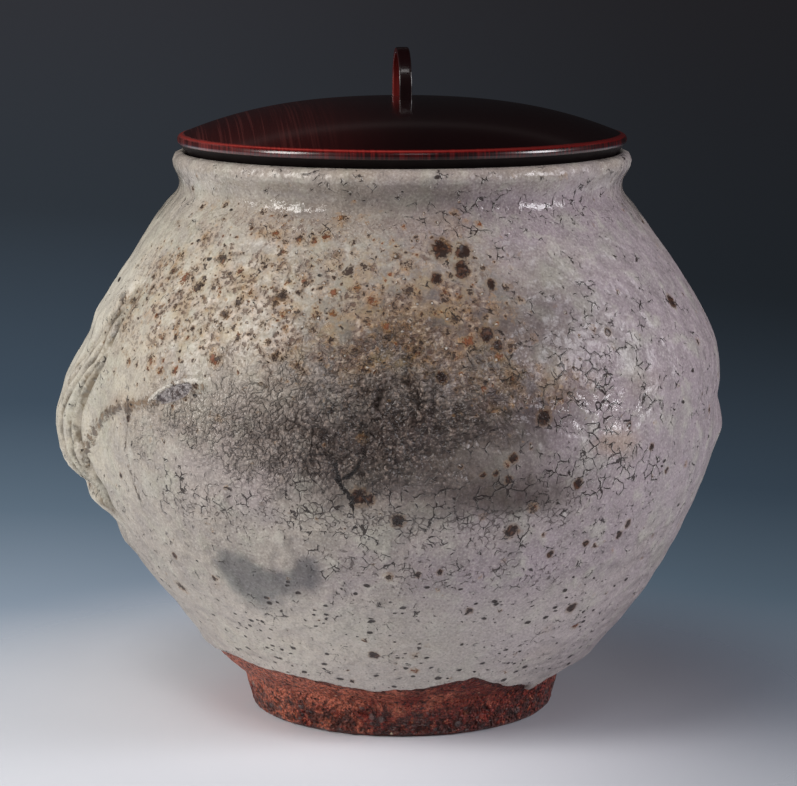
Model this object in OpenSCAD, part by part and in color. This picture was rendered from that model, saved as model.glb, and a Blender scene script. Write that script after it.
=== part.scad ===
// Water jar for the tea room: a thrown stoneware body with a dipped outer glaze and a poured
// lining, closed by a turned, lacquered wooden lid that lifts off by a bent strip handle.
// Millimetres, +Z up, origin at the centre of the foot's standing edge.
// The handle's span runs along Y, so the front of the jar is seen along +Y.

/* [Clay body] */
// Height of the clay from its standing edge to the crest of its lip
jar_h = 187.4; // [176:0.2:200]
// Widest diameter of the clay
belly_d = 211; // [201:1:223]
// Height of the widest diameter
belly_z = 101; // [94:1:108]
// Thickness of the clay wall
wall_t = 6; // [4.5:0.25:7.5]
// Slope of the wall where it leaves the foot, above the horizontal
foot_slope = 36; // [30:1:42]
// Slope of the shoulder where it runs into the neck, above the horizontal
shoulder_slope = 55; // [50:1:60]
// Depth of the shoulder's end below the neck
shoulder_drop = 8.2; // [7:0.2:10]
// How far the shoulder's end stands out from the neck
shoulder_step = 4.8; // [4:0.2:6]

/* [Neck and lip] */
// Diameter of the clay at the neck, its narrowest place
neck_d = 145; // [138:1:152]
// Depth of the neck's narrowest place below the crest of the lip
neck_drop = 10; // [9:0.5:12]
// How far the lip stands out from the neck
lip_flare = 3; // [2:0.25:4.5]
// Radius of the lip's rounded edge, in clay
lip_round = 1.6; // [1.2:0.1:2.2]

/* [Foot] */
// Diameter of the foot at its standing edge
foot_d = 103; // [96:1:110]
// Height of the foot up to the underside of the body
foot_h = 13; // [10:0.5:15]
// How far the foot widens from its standing edge to its top
foot_flare = 3; // [1.5:0.25:4.5]
// Width of the ring that the jar stands on
foot_ring_w = 11; // [8:0.5:14]
// Depth of the hollow inside the foot ring
foot_hollow = 5; // [3:0.5:7]
// Radius of the foot's rounded standing edges
foot_round = 2.6; // [1.2:0.1:3.6]

/* [Glaze] */
// Thickness of each glaze coat
glaze_t = 1.2; // [0.8:0.1:1.6]
// Height where the outer glaze ends above the foot
glaze_z = 20.5; // [18:0.25:24]
// Tilt of the glaze's lower edge, from the dip: it is higher on the left
dip_tilt = 4; // [0:0.5:6]

/* [Flank folds] */
// How far the middle fold of thick glaze stands out from the glazed belly
fold_reach = 10.5; // [7:0.5:13]
// Radius of the bend that the folds follow down the flank
fold_bend_r = 30; // [26:0.5:34]
// Width of the folds together, round the flank
fold_width = 50; // [42:1:58]
// Distance from one fold to the next
fold_pitch = 15; // [12:0.5:18]
// Depth of the grooves between the folds
fold_groove = 2.4; // [1:0.2:3.6]
// Depth of the folds' middle below the widest diameter
fold_drop = 5; // [0:0.5:10]
// Place of the folds round the jar
fold_azimuth = 182; // [170:1:195]
// How far the small bump on the other flank stands out from the glazed belly
bump_reach = 1.4; // [0.8:0.1:2.4]
// Radius of the bump's roll
bump_roll_r = 5; // [3.5:0.5:7]
// Radius of the bend that the bump follows down the flank
bump_bend_r = 12; // [9:0.5:16]
// Depth of the bump's middle below the widest diameter
bump_drop = 5; // [0:0.5:10]
// Place of the bump round the jar
bump_azimuth = 6; // [-10:1:20]

/* [Lid] */
// How far the lid's edge lies inside the lip's outer edge
lid_inset = 1.7; // [0.5:0.1:3]
// Thickness of the lid's rounded edge
lid_edge_t = 3.4; // [2.6:0.1:4.4]
// Rise of the lid's dome above its edge
lid_rise = 11.7; // [9:0.1:15]
// Thickness of the lid's board under the dome
board_t = 8; // [6.5:0.25:10]
// Slope of the seat under the lid's edge, above the horizontal
seat_slope = 50; // [46:1:54]
// Clearance between the lid's seat and the lip
seat_gap = 0.3; // [0.2:0.05:0.6]
// Clearance between the lid's spigot and the neck
spigot_gap = 1.4; // [0.8:0.1:2.4]
// Height of the spigot below the seat
spigot_h = 5; // [3.5:0.25:7]
// Width of the spigot ring
spigot_w = 5; // [3.5:0.25:7]

/* [Handle] */
// Height of the handle above the top of the dome
handle_h = 16.8; // [14.5:0.1:21]
// Length of the handle over its two legs
handle_span = 26; // [22:0.5:28]
// Width of the bent strip
strip_w = 4.2; // [3.2:0.1:6]
// Thickness of the bent strip
strip_t = 2; // [1.4:0.1:2.6]
// Turn of the handle about the lid's axis
handle_turn = 5.6; // [0:0.2:45]
// Clearance round each leg in its mortise
mortise_gap = 0.1; // [0.05:0.05:0.2]

/* [Hidden] */
$fn = 96;

// Steps along a long run of the wall and along a short curve
run_steps = 14;
curve_steps = 7;
// Reach of the wall's curves away from their ends at the foot, belly, shoulder, neck and lip
foot_pull = 36;
belly_pull_low = 23;
belly_pull_high = 33;
shoulder_pull = 30;
neck_pull = 4;
lip_pull = 3;
// Shape of the dome: 2 is a parabola, more is flatter in the middle and rounder at the edge
dome_power = 2.6;
dome_steps = 18;
// Depth of the lid's seat below the centre of the lip's round
seat_drop = 2;
// Overshoot of a cut past the face that it opens
cut_over = 1;
// How deep the ends of the folds are sunk in the flank, and how they round off towards them
fold_sink = 1.5;
fold_power = 2.4;
fold_steps = 40;

belly_r = belly_d / 2;
neck_r = neck_d / 2;
neck_z = jar_h - neck_drop;
shoulder_point = [neck_r + shoulder_step, neck_z - shoulder_drop];
foot_r = foot_d / 2;
foot_point = [foot_r + foot_flare, foot_h];
lip_r = neck_r + lip_flare;
lip_centre = [lip_r - lip_round, jar_h - lip_round];
floor_z = foot_h + wall_t * cos(foot_slope);

glazed_lip_round = lip_round + glaze_t;
glazed_belly_r = belly_r + glaze_t;
mouth_r = neck_r - wall_t - glaze_t;
// Radius of the folds at their ends, which lie below the flank
fold_end_r = fold_bend_r - fold_reach - fold_width * fold_width / (8 * glazed_belly_r) - fold_sink;

lid_r = lip_r + glaze_t - lid_inset;
edge_round = lid_edge_t / 2;
edge_r = lid_r - edge_round;
// The lid's seat is a cone that clears the glazed lip by the seat gap, which sets the height of its edge
edge_to_lip = edge_round + glazed_lip_round + seat_gap;
lid_z = lip_centre[1] + (edge_to_lip - sin(seat_slope) * (lip_centre[0] - edge_r)) / cos(seat_slope);
seat_start = [edge_r, lid_z] + polar(edge_round, seat_slope - 90);
step_z = lip_centre[1] - seat_drop;
step_r = seat_start[0] - (seat_start[1] - step_z) / tan(seat_slope);
spigot_r = mouth_r - spigot_gap;
dome_z = lid_z + edge_round;
lid_top = dome_z + lid_rise;

function polar(r, angle) = r * [cos(angle), sin(angle)];

// Points along a Bezier curve from a to d with handles b and c, without its first point
function bezier(a, b, c, d, steps) =
    [for (i = [1:steps]) let (t = i / steps, s = 1 - t)
        s * s * s * a + 3 * s * s * t * b + 3 * s * t * t * c + t * t * t * d];

// Points along an arc, both ends included
function arc(centre, r, start, end, steps) =
    [for (i = [0:steps]) centre + polar(r, start + (end - start) * i / steps)];

function reversed(points) = [for (i = [len(points) - 1:-1:0]) points[i]];

// The wall in section from the foot to the neck, moved outwards from the clay's outer face
function wall_line(out) =
    let (foot = foot_point + polar(out, foot_slope - 90),
         belly = [belly_r + out, belly_z],
         shoulder = shoulder_point + polar(out, 90 - shoulder_slope),
         neck = [neck_r + out, neck_z])
    concat(
        [foot],
        bezier(foot, foot + polar(foot_pull, foot_slope), belly - [0, belly_pull_low], belly, run_steps),
        bezier(belly, belly + [0, belly_pull_high], shoulder + polar(shoulder_pull, -shoulder_slope),
            shoulder, run_steps),
        bezier(shoulder, shoulder + polar(neck_pull, 180 - shoulder_slope), neck - [0, neck_pull],
            neck, curve_steps));

// The outside of the neck and lip in section, from the neck over the crest to the lip's inner side
function lip_line(out) =
    let (neck = [neck_r + out, neck_z], side = lip_centre + [lip_round + out, 0])
    concat(
        bezier(neck, neck + [0, neck_pull], side - [0, lip_pull], side, curve_steps),
        arc(lip_centre, lip_round + out, 0, 180, 2 * curve_steps));

// The inside of the mouth in section, from the lip's inner side down to the neck, moved inwards from the clay
function mouth_line(coat) =
    let (side = lip_centre - [lip_round + coat, 0], neck = [neck_r - wall_t - coat, neck_z])
    bezier(side, side - [0, lip_pull], neck + [0, neck_pull], neck, curve_steps);

// The inside of the body in section, from below the neck down to the floor, moved inwards from the clay
function inside_line(coat) =
    let (line = reversed(wall_line(-wall_t - coat)))
    [for (i = [1:len(line) - 1]) line[i]];

// The foot ring in section, from the hollow's edge round the standing edge to below the body
function foot_line() =
    let (ring_r = foot_r - foot_ring_w)
    concat(
        [[0, foot_hollow], [ring_r, foot_hollow]],
        arc([ring_r + foot_round, foot_round], foot_round, 180, 270, curve_steps),
        arc([foot_r - foot_round, foot_round], foot_round, 270, 360, curve_steps));

// Height of the dome's outer face at a distance from the lid's axis
function dome_height(r) = dome_z + lid_rise * (1 - pow(r / edge_r, dome_power));

// Thrown body: foot ring, wall, neck and lip
module clay_body() {
    color("sienna")
        rotate_extrude()
            polygon(concat(foot_line(), wall_line(0), lip_line(0), mouth_line(0), inside_line(0),
                [[0, floor_z]]));
}

// Outer coat, dipped: from above the foot, up the body and over the lip
module outer_glaze() {
    color("lightgray")
        difference() {
            rotate_extrude()
                polygon(concat(wall_line(glaze_t), lip_line(glaze_t), reversed(lip_line(0)),
                    reversed(wall_line(0))));
            rotate([0, dip_tilt, 0])
                translate([0, 0, -cut_over])
                    cylinder(h = glaze_z + cut_over, r = glazed_belly_r);
        }
}

// Lining, poured: from the lip's inner side down over the floor
module inner_glaze() {
    lip_side = lip_centre - [lip_round, 0];
    color("gainsboro")
        rotate_extrude()
            polygon(concat([[0, floor_z]], reversed(inside_line(0)), reversed(mouth_line(0)), [lip_side],
                [lip_side - [glaze_t, 0]], mouth_line(glaze_t), inside_line(glaze_t),
                [[0, floor_z + glaze_t * cos(foot_slope)]]));
}

// Everything inside the glazed outer face, filled
module glazed_core() {
    rotate_extrude()
        polygon(concat([[0, foot_h]], wall_line(glaze_t), [[0, neck_z]]));
}

// Radius of the folds about their own axis, at a distance along it from the middle fold
function fold_radius(y) =
    fold_bend_r - (fold_bend_r - fold_end_r) * pow(abs(2 * y / fold_width), fold_power)
        - fold_groove * (1 - cos(360 * y / fold_pitch)) / 2;

// Puts a roll, turned about the Z axis, on the flank with its axis level and along the flank
module on_flank(azimuth, drop, reach, bend_r) {
    rotate([0, 0, azimuth])
        translate([glazed_belly_r + reach - bend_r, 0, belly_z - drop])
            rotate([90, 0, 0])
                rotate_extrude()
                    children();
}

// Thick glaze gathered in folds on the left flank, and a small bump on the right one
module flank_folds() {
    half = fold_width / 2;
    ridge = [for (i = [0:fold_steps]) let (y = -half + fold_width * i / fold_steps) [fold_radius(y), y]];
    color("silver")
        difference() {
            on_flank(fold_azimuth, fold_drop, fold_reach, fold_bend_r)
                polygon(concat([[0, -half]], ridge, [[0, half]]));
            glazed_core();
        }
    color("silver")
        difference() {
            on_flank(bump_azimuth, bump_drop, bump_reach, bump_bend_r + bump_roll_r)
                translate([bump_bend_r, 0])
                    circle(r = bump_roll_r);
            glazed_core();
        }
}

// One leg of the handle, or the mortise that takes it when it is grown by the mortise gap
module handle_leg(side, top, grow) {
    bottom = dome_height(handle_span / 2) - board_t;
    width = strip_t + 2 * grow;
    depth = strip_w + 2 * grow;
    over = grow > 0 ? cut_over : 0;
    translate([-depth / 2, side * (handle_span - strip_t) / 2 - width / 2, bottom - over])
        cube([depth, width, top - bottom + over]);
}

// Turned board: domed top, rounded edge, seat, spigot ring and two mortises for the handle
module lid_board() {
    spigot_in = spigot_r - spigot_w;
    underside = [for (i = [0:dome_steps]) let (r = spigot_in * i / dome_steps) [r, dome_height(r) - board_t]];
    top = [for (i = [dome_steps:-1:0]) let (r = edge_r * i / dome_steps) [r, dome_height(r)]];
    color([0.28, 0.05, 0.04])
        difference() {
            rotate_extrude()
                polygon(concat(underside,
                    [[spigot_in, step_z - spigot_h], [spigot_r, step_z - spigot_h], [spigot_r, step_z],
                        [step_r, step_z]],
                    arc([edge_r, lid_z], edge_round, seat_slope - 90, 90, 2 * curve_steps),
                    [for (i = [1:len(top) - 1]) top[i]]));
            rotate([0, 0, handle_turn])
                for (side = [-1, 1])
                    handle_leg(side, lid_top + cut_over, mortise_gap);
        }
}

// Bent strip handle: a half ring on two legs that pass through the board
module lid_handle() {
    bend_r = handle_span / 2;
    bend_z = lid_top + handle_h - bend_r;
    color([0.34, 0.06, 0.05])
        rotate([0, 0, handle_turn]) {
            translate([0, 0, bend_z])
                rotate([90, 0, 90])
                    rotate_extrude(angle = 180)
                        translate([bend_r - strip_t, -strip_w / 2])
                            square([strip_t, strip_w]);
            for (side = [-1, 1])
                handle_leg(side, bend_z, 0);
        }
}

clay_body();
outer_glaze();
inner_glaze();
flank_folds();
lid_board();
lid_handle();
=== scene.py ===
# %% [markdown]
# # A water jar for the tea room
# The jar is thrown stoneware with a pale, crackled ash glaze, a bare red foot and a lacquered lid.
# Its solids come packed from the CAD model. This lesson dresses them: every piece is a numpy surface
# that follows the CAD's own section lines, and every finish is a node recipe with no picture in it.

import bpy
import numpy as np
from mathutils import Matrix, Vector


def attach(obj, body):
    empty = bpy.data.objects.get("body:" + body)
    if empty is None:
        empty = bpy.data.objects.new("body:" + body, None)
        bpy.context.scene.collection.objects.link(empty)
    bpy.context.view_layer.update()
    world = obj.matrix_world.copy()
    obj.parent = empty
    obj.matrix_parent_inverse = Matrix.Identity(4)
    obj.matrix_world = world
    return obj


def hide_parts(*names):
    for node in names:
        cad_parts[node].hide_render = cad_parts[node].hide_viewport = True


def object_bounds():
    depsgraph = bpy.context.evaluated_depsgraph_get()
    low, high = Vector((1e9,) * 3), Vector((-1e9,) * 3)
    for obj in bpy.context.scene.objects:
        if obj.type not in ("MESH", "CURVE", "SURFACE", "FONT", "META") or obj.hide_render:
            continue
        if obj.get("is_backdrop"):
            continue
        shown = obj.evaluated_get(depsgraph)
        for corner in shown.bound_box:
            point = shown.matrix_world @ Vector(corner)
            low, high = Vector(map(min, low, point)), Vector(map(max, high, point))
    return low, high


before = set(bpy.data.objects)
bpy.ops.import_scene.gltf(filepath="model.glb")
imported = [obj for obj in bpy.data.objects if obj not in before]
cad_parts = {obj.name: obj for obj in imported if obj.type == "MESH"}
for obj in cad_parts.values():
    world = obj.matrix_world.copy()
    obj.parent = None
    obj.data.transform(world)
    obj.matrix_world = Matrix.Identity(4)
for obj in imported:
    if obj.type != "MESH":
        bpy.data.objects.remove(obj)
cad_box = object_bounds()

# %% [markdown]
# ## Section lines
# A potter shapes a jar by its section, the line that the wall makes when it is cut through the axis.
# A few Bezier curves give that line: foot to belly, belly to shoulder, shoulder to neck, neck to lip.
# The same real sizes, in millimetres, are in the CAD source, so the dressed surface lies on the solids.

# %% Section of the clay
FOOT_R, FOOT_H, FOOT_FLARE = 51.5, 13.0, 3.0
BELLY_R, BELLY_Z = 105.5, 101.0
NECK_R, NECK_Z = 72.5, 177.4
LIP_R, LIP_ROUND, JAR_H = 75.5, 1.6, 187.4
SHOULDER = np.array([NECK_R + 4.8, NECK_Z - 8.2])
LIP_CENTRE = np.array([LIP_R - LIP_ROUND, JAR_H - LIP_ROUND])
FOOT_SLOPE, SHOULDER_SLOPE = np.radians(36), np.radians(55)
WALL_T, GLAZE_T = 6.0, 1.2


def polar(radius, angle):
    """The point at a distance and an angle from the origin."""
    return radius * np.array([np.cos(angle), np.sin(angle)])


def bezier(a, b, c, d, steps):
    """Cubic Bezier points from a to d pulled towards b and c, without the first point."""
    t = np.linspace(0, 1, steps + 1)[1:, None]
    s = 1 - t
    return s**3 * a + 3 * s**2 * t * b + 3 * s * t**2 * c + t**3 * d


def wall_line(out):
    """The wall from foot to neck, moved out from the clay's face along its own normal at each joint."""
    foot = np.array([FOOT_R + FOOT_FLARE, FOOT_H]) + polar(out, FOOT_SLOPE - np.pi / 2)
    belly = np.array([BELLY_R + out, BELLY_Z])
    shoulder = SHOULDER + polar(out, np.pi / 2 - SHOULDER_SLOPE)
    neck = np.array([NECK_R + out, NECK_Z])
    return np.vstack([
        foot,
        bezier(foot, foot + polar(36, FOOT_SLOPE), belly - [0, 23], belly, 60),
        bezier(belly, belly + [0, 33], shoulder + polar(30, -SHOULDER_SLOPE), shoulder, 60),
        bezier(shoulder, shoulder + polar(4, np.pi - SHOULDER_SLOPE), neck - [0, 4], neck, 16),
    ])


def lip_line():
    """The outside of the neck and lip in clay, over the crest to the lip's inner side."""
    neck = np.array([NECK_R, NECK_Z])
    side = LIP_CENTRE + [LIP_ROUND, 0]
    turn = np.linspace(0, np.pi, 25)[1:, None]
    crest = LIP_CENTRE + LIP_ROUND * np.hstack([np.cos(turn), np.sin(turn)])
    return np.vstack([bezier(neck, neck + [0, 4], side - [0, 3], side, 16), crest])


def inside_line(coat):
    """The inside from the lip down to the edge of the floor, moved inwards from the clay by a coat."""
    side = LIP_CENTRE - [LIP_ROUND + coat, 0]
    neck = np.array([NECK_R - WALL_T - coat, NECK_Z])
    mouth = bezier(side, side - [0, 3], neck + [0, 4], neck, 24)
    return np.vstack([side, mouth, wall_line(-WALL_T - coat)[::-1][1:]])


def measured(points):
    """Arc length, points and normals of a section line; a normal is the tangent turned by 90 degrees."""
    step = np.hypot(*np.diff(points, axis=0).T)
    length = np.concatenate([[0], np.cumsum(step)])
    tangent = np.gradient(points, length, axis=0)
    tangent /= np.linalg.norm(tangent, axis=1, keepdims=True)
    normal = np.stack([tangent[:, 1], -tangent[:, 0]], axis=1)
    return length, points, normal


def along(line, length):
    """Points and normals of a measured line at the given arc lengths, by linear steps between its points."""
    at, points, normals = line
    pick = lambda values: np.interp(length, at, values)
    point = np.stack([pick(points[:, 0]), pick(points[:, 1])], axis=-1)
    normal = np.stack([pick(normals[:, 0]), pick(normals[:, 1])], axis=-1)
    return point, normal


clay_line = measured(np.vstack([wall_line(0), lip_line()]))
print("outer section line:", round(clay_line[0][-1], 1), "mm from foot to lip")

# %% [markdown]
# ## Surfaces from grids
# Each piece is a grid of points: rows follow the section, columns go round the axis. Angle 0 is the front,
# and it grows towards the viewer's right. A hand-made surface is never quite even, so most pieces add a
# little noise, which is worked out for all points at once from random values on a cubic lattice.
# Blender's Screw modifier could turn a section too, but it would leave the wall perfectly round.

# %% Grid helpers
MM = 0.001


def round_axis(radius, angle, height):
    """Points at a radius and height round the Z axis, with angle 0 facing -Y."""
    return np.stack(np.broadcast_arrays(radius * np.sin(angle), -radius * np.cos(angle), height), axis=-1)


def raised(point, normal, offset, angle):
    """Points round the axis, moved from a section line by an offset along its normal."""
    radius, height = (point[..., k] + offset * normal[..., k] for k in (0, 1))
    return round_axis(radius, angle, height)


def round_turn(count):
    """Angles spread evenly once round the axis, from the back."""
    return np.linspace(-np.pi, np.pi, count, endpoint=False)


def grid_piece(name, points, start=None, end=None, loop=False):
    """A mesh over points[row, column] in mm whose columns close round the axis. start and end are poles that
    close the first and last row with a fan, and loop joins the last row to the first."""
    rows, columns = points.shape[:2]
    here = np.arange(rows * columns).reshape(rows, columns)
    if loop:
        here = np.vstack([here, here[:1]])
    right = np.roll(here, -1, axis=1)
    quads = np.stack([here[:-1], right[:-1], right[1:], here[1:]], axis=-1).reshape(-1, 4)
    verts = points.reshape(-1, 3)
    fans = []
    for pole, row, flip in ((start, 0, True), (end, -1, False)):
        if pole is not None:
            tip = np.full(columns, len(verts))
            ring = (right[row], here[row]) if flip else (here[row], right[row])
            fans.append(np.stack([*ring, tip], axis=-1))
            verts = np.vstack([verts, pole])
    faces = quads.tolist() + [face for fan in fans for face in fan.tolist()]
    mesh = bpy.data.meshes.new(name)
    mesh.from_pydata((verts * MM).tolist(), [], faces)
    mesh.shade_smooth()
    piece = bpy.data.objects.new(name, mesh)
    bpy.context.scene.collection.objects.link(piece)
    print(name, "has", len(verts), "points and", 2 * len(quads) + sum(map(len, fans)), "triangles")
    return piece


def lattice_noise(points, cell, seed):
    """Noise from -1 to 1: random values at the corners of cubes of a cell size, blended by 3t^2 - 2t^3."""
    scaled = points / cell
    base = np.floor(scaled).astype(np.int64)
    t = scaled - base
    t = t * t * (3 - 2 * t)
    total = np.zeros(points.shape[:-1])
    for corner in np.ndindex(2, 2, 2):
        x, y, z = np.moveaxis(base + corner, -1, 0)
        h = (x * 374761393 + y * 668265263 + z * 1440662683 + seed * 974634773) & 0xFFFFFFFF
        h = ((h ^ (h >> 13)) * 1274126177) & 0xFFFFFFFF
        value = ((h ^ (h >> 16)) & 0xFFFF) / 32767.5 - 1
        total += value * np.prod(np.where(corner, t, 1 - t), axis=-1)
    return total


def rough_noise(points, cell, seed, octaves=3):
    """Lattice noise with finer copies added, each half the cell and half the height of the one before."""
    layers = [lattice_noise(points, cell / 2**k, seed + k) / 2**k for k in range(octaves)]
    return np.sum(layers, axis=0)


def ease(low, high, value):
    """0 below low, 1 above high, and a smooth step between them."""
    t = np.clip((value - low) / (high - low), 0, 1)
    return t * t * (3 - 2 * t)


# %% [markdown]
# ## The glazed wall
# The jar was dipped, so the coat is thick, runs to an uneven edge above the foot and gathers in folds on the
# left flank. It could be sculpted by hand, but a formula can be read and changed. The relief is a sum of
# plain ones: soft hills for the potter's hands, a crust where ash fell, pleats for the folds, and a few
# strokes for the ridges and grooves that the eye finds at once.

# %% Where things are on the glaze
COLUMNS, ROWS, BACK_ROWS = 570, 154, 18
DENSEST, SQUEEZE = np.radians(-35), 0.38
EDGE_R = 62.0
EDGE = [(-180, 20), (-120, 22), (-80, 24), (-53, 25), (-32, 22.5), (-14, 20.6), (-4, 19.3), (6, 20),
        (14, 22.5), (20, 24), (26, 21.5), (33, 18.5), (39, 17.5), (44.5, 16.5), (48, 12.5), (51, 17),
        (58, 20), (90, 21), (135, 18.5)]
LEAN = [(1.5, (-92, 168), (45, 13)), (-2.2, (-80, 36), (45, 13)), (0.4, (-85, 60), (30, 9)),
        (-0.8, (100, 64), (50, 26)), (1.9, (78, 124), (26, 11))]


def glaze_edge(angle):
    """Height of the glaze's lower edge round the jar: a few heights joined, plus small ragged waves."""
    height = np.interp(np.degrees(angle), *np.transpose(EDGE), period=360)
    ring = round_axis(EDGE_R, angle, 0.0)
    return height + 0.55 * rough_noise(ring, 9, 91) + 0.3 * rough_noise(ring, 2.6, 93)


def spot(degrees, height, centre, spread):
    """A soft spot: exp(-(distance/spread)^2) with the spread given across in degrees and up in mm."""
    across = (degrees - centre[0] + 180) % 360 - 180
    return np.exp(-(across / spread[0])**2 - ((height - centre[1]) / spread[1])**2)


def blots(degrees, height, marks):
    """A sum of soft spots, each given as (strength, centre, spread)."""
    return sum(strength * spot(degrees, height, centre, spread) for strength, centre, spread in marks)


def mm_across(degrees):
    """Degrees round the belly as millimetres."""
    return np.radians(degrees) * (BELLY_R + GLAZE_T)


def beside(degrees, height, path):
    """Signed distance in mm, sideways, from a path of (degrees, height) points listed from its lower end up.
    It grows fast beyond both ends, so a line drawn where it is near 0 tapers off there."""
    turn, level = np.transpose(path)
    beyond = np.maximum(level[0] - height, height - level[-1]).clip(0)
    return mm_across(degrees - np.interp(height, level, turn)) * (1 + beyond**2)


def hand_set(degrees, height):
    """How far the thrown wall leans out of round, in mm: a sum of soft spots, 0 at the lip and the foot."""
    return blots(degrees, height, LEAN) * ease(186, 178, height) * ease(14, 24, height)


# %% Folds on the left flank
FOLD_REACH = [(48, 0), (55, -0.4), (60, 0.8), (66, -0.2), (71, 1.6), (76, 4.8), (81, 4.2), (86, 8.0),
              (92, 10.0), (97, 10.2), (102, 9.8), (107, 8.1), (112, 6.9), (117, 4.8), (122, 2.6), (128, 1.3),
              (134, 1.2), (150, 0)]
FOLD_CREASE = [(-66, 70), (-69, 79), (-72.5, 88), (-74.5, 96), (-74, 104), (-70.5, 113), (-67.5, 122),
               (-65.5, 132), (-64, 145)]
PLEATS = [(0.0, 1.0, 1.4), (4.4, 0.8, 1.0), (8.6, 0.9, 1.1), (14.0, 0.9, 1.3), (21.0, 0.8, 1.4)]
HEM = [(-73.5, 86), (-72, 92), (-69, 99), (-64.5, 105), (-58, 110), (-51, 113), (-46, 115.5), (-38.5, 120),
       (-33, 121.5)]


def behind_crease(degrees, height):
    """Distance in mm behind the crease that starts the folds."""
    turn, level = np.transpose(FOLD_CREASE)
    return mm_across(np.interp(height, level, turn) - degrees)


def pleat_groove(degrees, height, wider=1.0):
    """1 at the bottom of a groove between two pleats: e^(-distance/width) from a few wandering lines, which
    lie furthest apart half-way down and meet above and below."""
    behind = behind_crease(degrees, height)
    spread = 0.3 + 0.7 * ease(64, 92, height) * ease(150, 112, height)
    level = np.stack([0 * height, 0 * height, height], axis=-1)
    groove = np.zeros(height.shape)
    for seed, (place, depth, width) in enumerate(PLEATS):
        line = place * spread + 1.1 * lattice_noise(level, 15, 23 + seed)
        groove = np.maximum(groove, depth * np.exp(-np.abs(behind - line) / (wider * width)))
    return groove * ease(158, 140, height) * ease(62, 76, height) * ease(-124, -108, degrees)


def fold_share(degrees, height):
    """1 on the folds, 0 away from them."""
    behind = behind_crease(degrees, height)
    return ease(0, 5, behind) * ease(-122, -106, degrees) * ease(60, 76, height) * ease(165, 145, height)


def flank_folds(degrees, height, points):
    """How far the folds stand out on the left flank: a swelling behind the crease, scored by the grooves and
    by fine wrinkles that run down with them."""
    share = ease(-13, 13, behind_crease(degrees, height)) * ease(-122, -106, degrees)
    return (np.interp(height, *np.transpose(FOLD_REACH)) * share - 2.8 * pleat_groove(degrees, height)
            + 0.45 * fold_share(degrees, height) * rough_noise(points * [1, 1, 0.22], 4.2, 29, 2))


def over_hem(degrees, height):
    """Distance in mm above the hem, where the upper coat ends over the lower one; below 0 under the hem."""
    turn, level = np.transpose(HEM)
    lean = np.interp(degrees, turn, np.gradient(level, mm_across(turn)))
    return (height - np.interp(degrees, turn, level)) / np.hypot(1, lean)


def hem_share(degrees):
    """1 along the hem, 0 beyond its two ends."""
    return ease(-75.5, -72, degrees) * ease(-31, -38, degrees)


# %% Relief of the glaze
SCARP = [(-53.2, 100), (-52, 103), (-50.6, 107), (-49, 111), (-47.4, 114)]
RIFT = [(-8.2, 89), (-9.0, 92), (-10.5, 96), (-11.2, 101), (-12.0, 106.5), (-14.0, 110.5), (-15.5, 116)]
RIFT_BRANCH = [(-10.2, 96), (-8.4, 98.5), (-7.2, 100.5), (-6.2, 104.5), (-5.2, 109)]
TRAIL = [(-54.0, 78), (-54.6, 84), (-55.4, 91.5), (-55.8, 98), (-55.2, 106), (-54.6, 111)]
BLISTER, BLISTER_SIZE, BLISTER_TILT = (-42.4, 118.8), (9.0, 2.5), np.radians(22)
RING, RING_R = (-0.4, 120.4), 6.4
FLANK_BUMPS = [(1.2, (-86, 87), (3.5, 2.6)), (1.6, (84, 97), (7, 6)), (-0.85, (88, 108), (9, 3)),
               (0.4, (84, 114), (7, 5))]
CRUST = [(0.9, (-15, 108), (31, 20)), (0.7, (4, 126), (20, 14)), (0.4, (-4, 142), (18, 10)),
         (0.8, (150, 110), (45, 20))]


def blister(degrees, height):
    """1 in the middle of a burst blister, 0 on its lens-shaped rim and negative outside."""
    x, z = mm_across(degrees - BLISTER[0]), height - BLISTER[1]
    lengthwise = x * np.cos(BLISTER_TILT) + z * np.sin(BLISTER_TILT)
    over = z * np.cos(BLISTER_TILT) - x * np.sin(BLISTER_TILT)
    return 1 - (lengthwise / BLISTER_SIZE[0])**2 - (over / BLISTER_SIZE[1])**2


def blister_rim(degrees, height):
    """1 on the raised upper rim of the blister."""
    over = height - BLISTER[1] - mm_across(degrees - BLISTER[0]) * np.tan(BLISTER_TILT)
    return np.exp(-((blister(degrees, height) + 0.3) / 0.6)**2) * ease(-0.8, 1.0, over)


def crust_share(degrees, height, points):
    """Where the glaze is a rough crust: on the front and the back of the belly, with a ragged border."""
    return ease(0.15, 1.0, blots(degrees, height, CRUST) + 0.35 * rough_noise(points, 16, 5))


def strokes(degrees, height):
    """Ridges and grooves with a place of their own: hem, scarp, blister, ring and bumps on the flanks."""
    hem, scarp = over_hem(degrees, height), beside(degrees, height, SCARP)
    ring = np.hypot(mm_across(degrees - RING[0]), (height - RING[1]) * 0.9) - RING_R
    return (0.8 * hem_share(degrees) * ease(-1.0, 1.0, hem) * np.exp(-np.clip(hem, 0, None) / 9)
            + 0.8 * np.exp(-(scarp / 1.6)**2) + 0.4 * ease(5, 0, scarp) * np.exp(-(scarp / 7)**2)
            + 0.9 * blister_rim(degrees, height) - 0.7 * ease(0, 0.6, blister(degrees, height))
            - 0.9 * np.exp(-(ring / 1.2)**2) + 1.0 * np.exp(-((ring - 2.2) / 1.3)**2)
            + blots(degrees, height, FLANK_BUMPS))


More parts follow.
